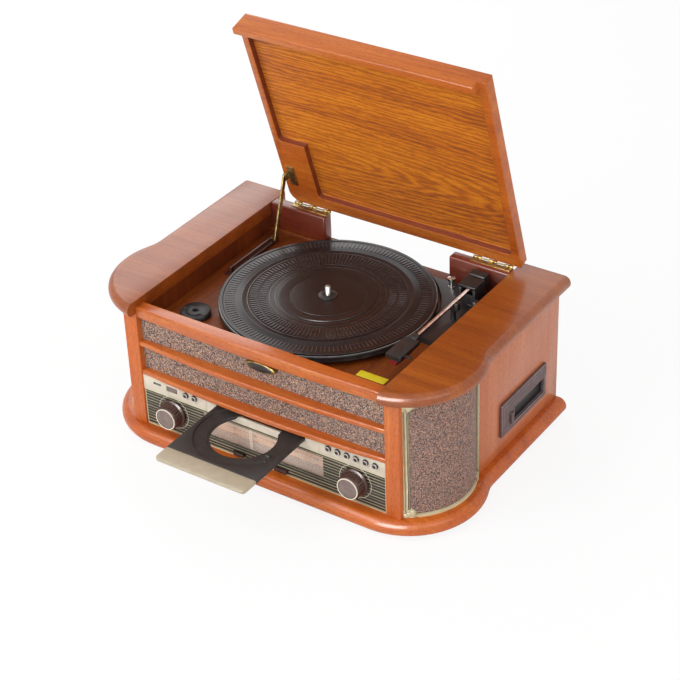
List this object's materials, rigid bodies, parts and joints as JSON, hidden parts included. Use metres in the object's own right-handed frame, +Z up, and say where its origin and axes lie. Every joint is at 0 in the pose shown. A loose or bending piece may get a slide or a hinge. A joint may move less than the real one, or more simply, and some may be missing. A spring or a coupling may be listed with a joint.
{
  "type": "music centre",
  "caption": "Wooden music centre with a record player under a hinged lid, a disc tray, a radio dial, a side cassette slot and curved corner speakers.",
  "frame": {"origin": "centre of the bounding box at the table, under the rubber feet", "axes": "+X to the right across the front, +Y from the front panel to the back, +Z up"},
  "size_m": [0.52, 0.4416, 0.5055],
  "materials": {
    "cabinet_wood": "stained veneer, satin lacquer",
    "inner_board": "dark raw board",
    "foot_rubber": "matte",
    "grille_cloth": "woven speckled cloth",
    "pale_gold": "satin champagne",
    "speaker_black": "matte",
    "cream_plastic": "satin",
    "olive_panel": "satin, finely striped",
    "window_plastic": "glossy tinted",
    "pointer_red": "matte",
    "brown_plastic": "satin",
    "chrome_metal": "polished",
    "tray_black": "matte",
    "mechanism": "matte",
    "player_black": "satin",
    "mat_rubber": "matte ribbed",
    "motor_steel": "plain",
    "aged_brass": "aged satin",
    "circuit_board": "satin"
  },
  "bodies": {
    "cabinet": {"base_board": "cabinet_wood", "rubber_feet": "foot_rubber", "side_panel_left": "cabinet_wood", "side_panel_right": "cabinet_wood", "wing_left": "cabinet_wood", "wing_right": "cabinet_wood", "inner_walls": "inner_board", "front_posts": "cabinet_wood", "top_rail": "cabinet_wood", "front_rails": "cabinet_wood", "back_rail": "cabinet_wood", "hinge_blocks": "cabinet_wood", "back_panel": "inner_board", "deck_board": "cabinet_wood", "front_cloth": "grille_cloth", "corner_grilles": "grille_cloth", "corner_trims": "pale_gold", "speakers": "speaker_black", "control_strip": "cream_plastic", "tuner_panel": "olive_panel", "dial_scale": "cream_plastic", "windows": "window_plastic", "usb_socket": "chrome_metal", "cd_mechanism": "mechanism", "platter_bearing": "chrome_metal", "motor": "motor_steel", "drive_belt": "foot_rubber", "tonearm_base": "player_black", "hinge_leaves": "aged_brass", "stay_track": "aged_brass", "cassette_bezel": "brown_plastic", "cassette_mechanism": "mechanism", "electronics": "circuit_board"},
    "lid_body": {"lid": "cabinet_wood", "lid_fittings": "aged_brass"},
    "stay": {"stay_bar": "aged_brass"},
    "disc_tray": {"cd_tray": "tray_black", "tray_front": "cream_plastic"},
    "volume": {"volume_knob": "brown_plastic"},
    "tuning": {"tuning_knob": "brown_plastic"},
    "pointer": {"dial_pointer": "pointer_red"},
    "band_switch": {"band_slider": "brown_plastic"},
    "function_switch": {"function_slider": "brown_plastic"},
    "turntable": {"platter": "player_black", "platter_mat": "mat_rubber"},
    "pulley": {"motor_pulley": "aged_brass"},
    "arm_turret": {"arm_yoke": "player_black"},
    "arm": {"tonearm": "player_black", "headshell": "player_black"},
    "tape_door": {"cassette_flap": "brown_plastic"},
    "eject": {"eject_button": "brown_plastic"},
    "single_adapter": {"adapter_45": "player_black"},
    "key_1": {"button_1": "brown_plastic"},
    "key_2": {"button_2": "brown_plastic"},
    "key_3": {"button_3": "brown_plastic"},
    "key_4": {"button_4": "brown_plastic"},
    "key_5": {"button_5": "brown_plastic"},
    "key_6": {"button_6": "brown_plastic"},
    "key_7": {"button_7": "brown_plastic"},
    "key_8": {"button_8": "brown_plastic"}
  },
  "joints": [
    {"name": "lid_hinge", "type": "hinge", "parent": "cabinet", "child": "lid_body", "pos_m": [0, 0.20175, 0.21], "axis": [1, 0, 0], "range_deg": [0, 72.5]},
    {"name": "stay_pivot", "type": "hinge", "parent": "lid_body", "child": "stay", "pos_m": [-0.152, 0.18385, 0.25678], "axis": [1, 0, 0], "range_deg": [-123.5, 0]},
    {"name": "tray_slide", "type": "slide", "parent": "cabinet", "child": "disc_tray", "axis": [0, 1, 0], "range_m": [0, 0.1225]},
    {"name": "volume_turn", "type": "hinge", "parent": "cabinet", "child": "volume", "pos_m": [-0.136, -0.09925, 0.0565], "axis": [0, 1, 0], "range_deg": [-60, 240]},
    {"name": "tuning_turn", "type": "hinge", "parent": "cabinet", "child": "tuning", "pos_m": [0.136, -0.09925, 0.0565], "axis": [0, 1, 0], "range_deg": [-262, 450]},
    {"name": "pointer_slide", "type": "slide", "parent": "cabinet", "child": "pointer", "axis": [1, 0, 0], "range_m": [-0.056, 0.0955]},
    {"name": "key_1_press", "type": "slide", "parent": "cabinet", "child": "key_1", "axis": [0, 1, 0], "range_m": [0, 0.0015], "stiffness_N_per_m": 200},
    {"name": "key_2_press", "type": "slide", "parent": "cabinet", "child": "key_2", "axis": [0, 1, 0], "range_m": [0, 0.0015], "stiffness_N_per_m": 200},
    {"name": "key_3_press", "type": "slide", "parent": "cabinet", "child": "key_3", "axis": [0, 1, 0], "range_m": [0, 0.0015], "stiffness_N_per_m": 200},
    {"name": "key_4_press", "type": "slide", "parent": "cabinet", "child": "key_4", "axis": [0, 1, 0], "range_m": [0, 0.0015], "stiffness_N_per_m": 200},
    {"name": "key_5_press", "type": "slide", "parent": "cabinet", "child": "key_5", "axis": [0, 1, 0], "range_m": [0, 0.0015], "stiffness_N_per_m": 200},
    {"name": "key_6_press", "type": "slide", "parent": "cabinet", "child": "key_6", "axis": [0, 1, 0], "range_m": [0, 0.0015], "stiffness_N_per_m": 200},
    {"name": "key_7_press", "type": "slide", "parent": "cabinet", "child": "key_7", "axis": [0, 1, 0], "range_m": [0, 0.0015], "stiffness_N_per_m": 200},
    {"name": "key_8_press", "type": "slide", "parent": "cabinet", "child": "key_8", "axis": [0, 1, 0], "range_m": [0, 0.0015], "stiffness_N_per_m": 200},
    {"name": "band_slide", "type": "slide", "parent": "cabinet", "child": "band_switch", "axis": [1, 0, 0], "range_m": [-0.006, 0.006]},
    {"name": "function_slide", "type": "slide", "parent": "cabinet", "child": "function_switch", "axis": [1, 0, 0], "range_m": [-0.006, 0.006]},
    {"name": "platter_spin", "type": "hinge", "parent": "cabinet", "child": "turntable", "pos_m": [-0.008, 0.06675, 0.167], "axis": [0, 0, 1], "continuous": true},
    {"name": "pulley_spin", "type": "hinge", "parent": "cabinet", "child": "pulley", "pos_m": [-0.08582, 0.01226, 0.167], "axis": [0, 0, 1], "continuous": true},
    {"name": "arm_swing", "type": "hinge", "parent": "cabinet", "child": "arm_turret", "pos_m": [0.147, 0.16075, 0.197], "axis": [0, 0, -1], "range_deg": [0, 38]},
    {"name": "arm_lift", "type": "hinge", "parent": "arm_turret", "child": "arm", "pos_m": [0.147, 0.16075, 0.197], "axis": [-1, 0, 0], "range_deg": [0, 6]},
    {"name": "tape_door_hinge", "type": "hinge", "parent": "cabinet", "child": "tape_door", "pos_m": [0.232, 0.10875, 0.0755], "axis": [0, 1, 0], "range_deg": [0, 75], "stiffness_Nm_per_rad": 0.002},
    {"name": "eject_press", "type": "slide", "parent": "cabinet", "child": "eject", "axis": [-1, 0, 0], "range_m": [0, 0.003], "stiffness_N_per_m": 200},
    {"name": "adapter_lift", "type": "slide", "parent": "cabinet", "child": "single_adapter", "axis": [0, 0, 1], "range_m": [0, 0.03]}
  ],
  "couplings": [
    {"joint": "stay_pivot", "follows": "lid_hinge", "ratio": -1.6893},
    {"joint": "pointer_slide", "follows": "tuning_turn", "m_per_rad": 0.012},
    {"joint": "pulley_spin", "follows": "platter_spin", "ratio": 11.333}
  ]
}
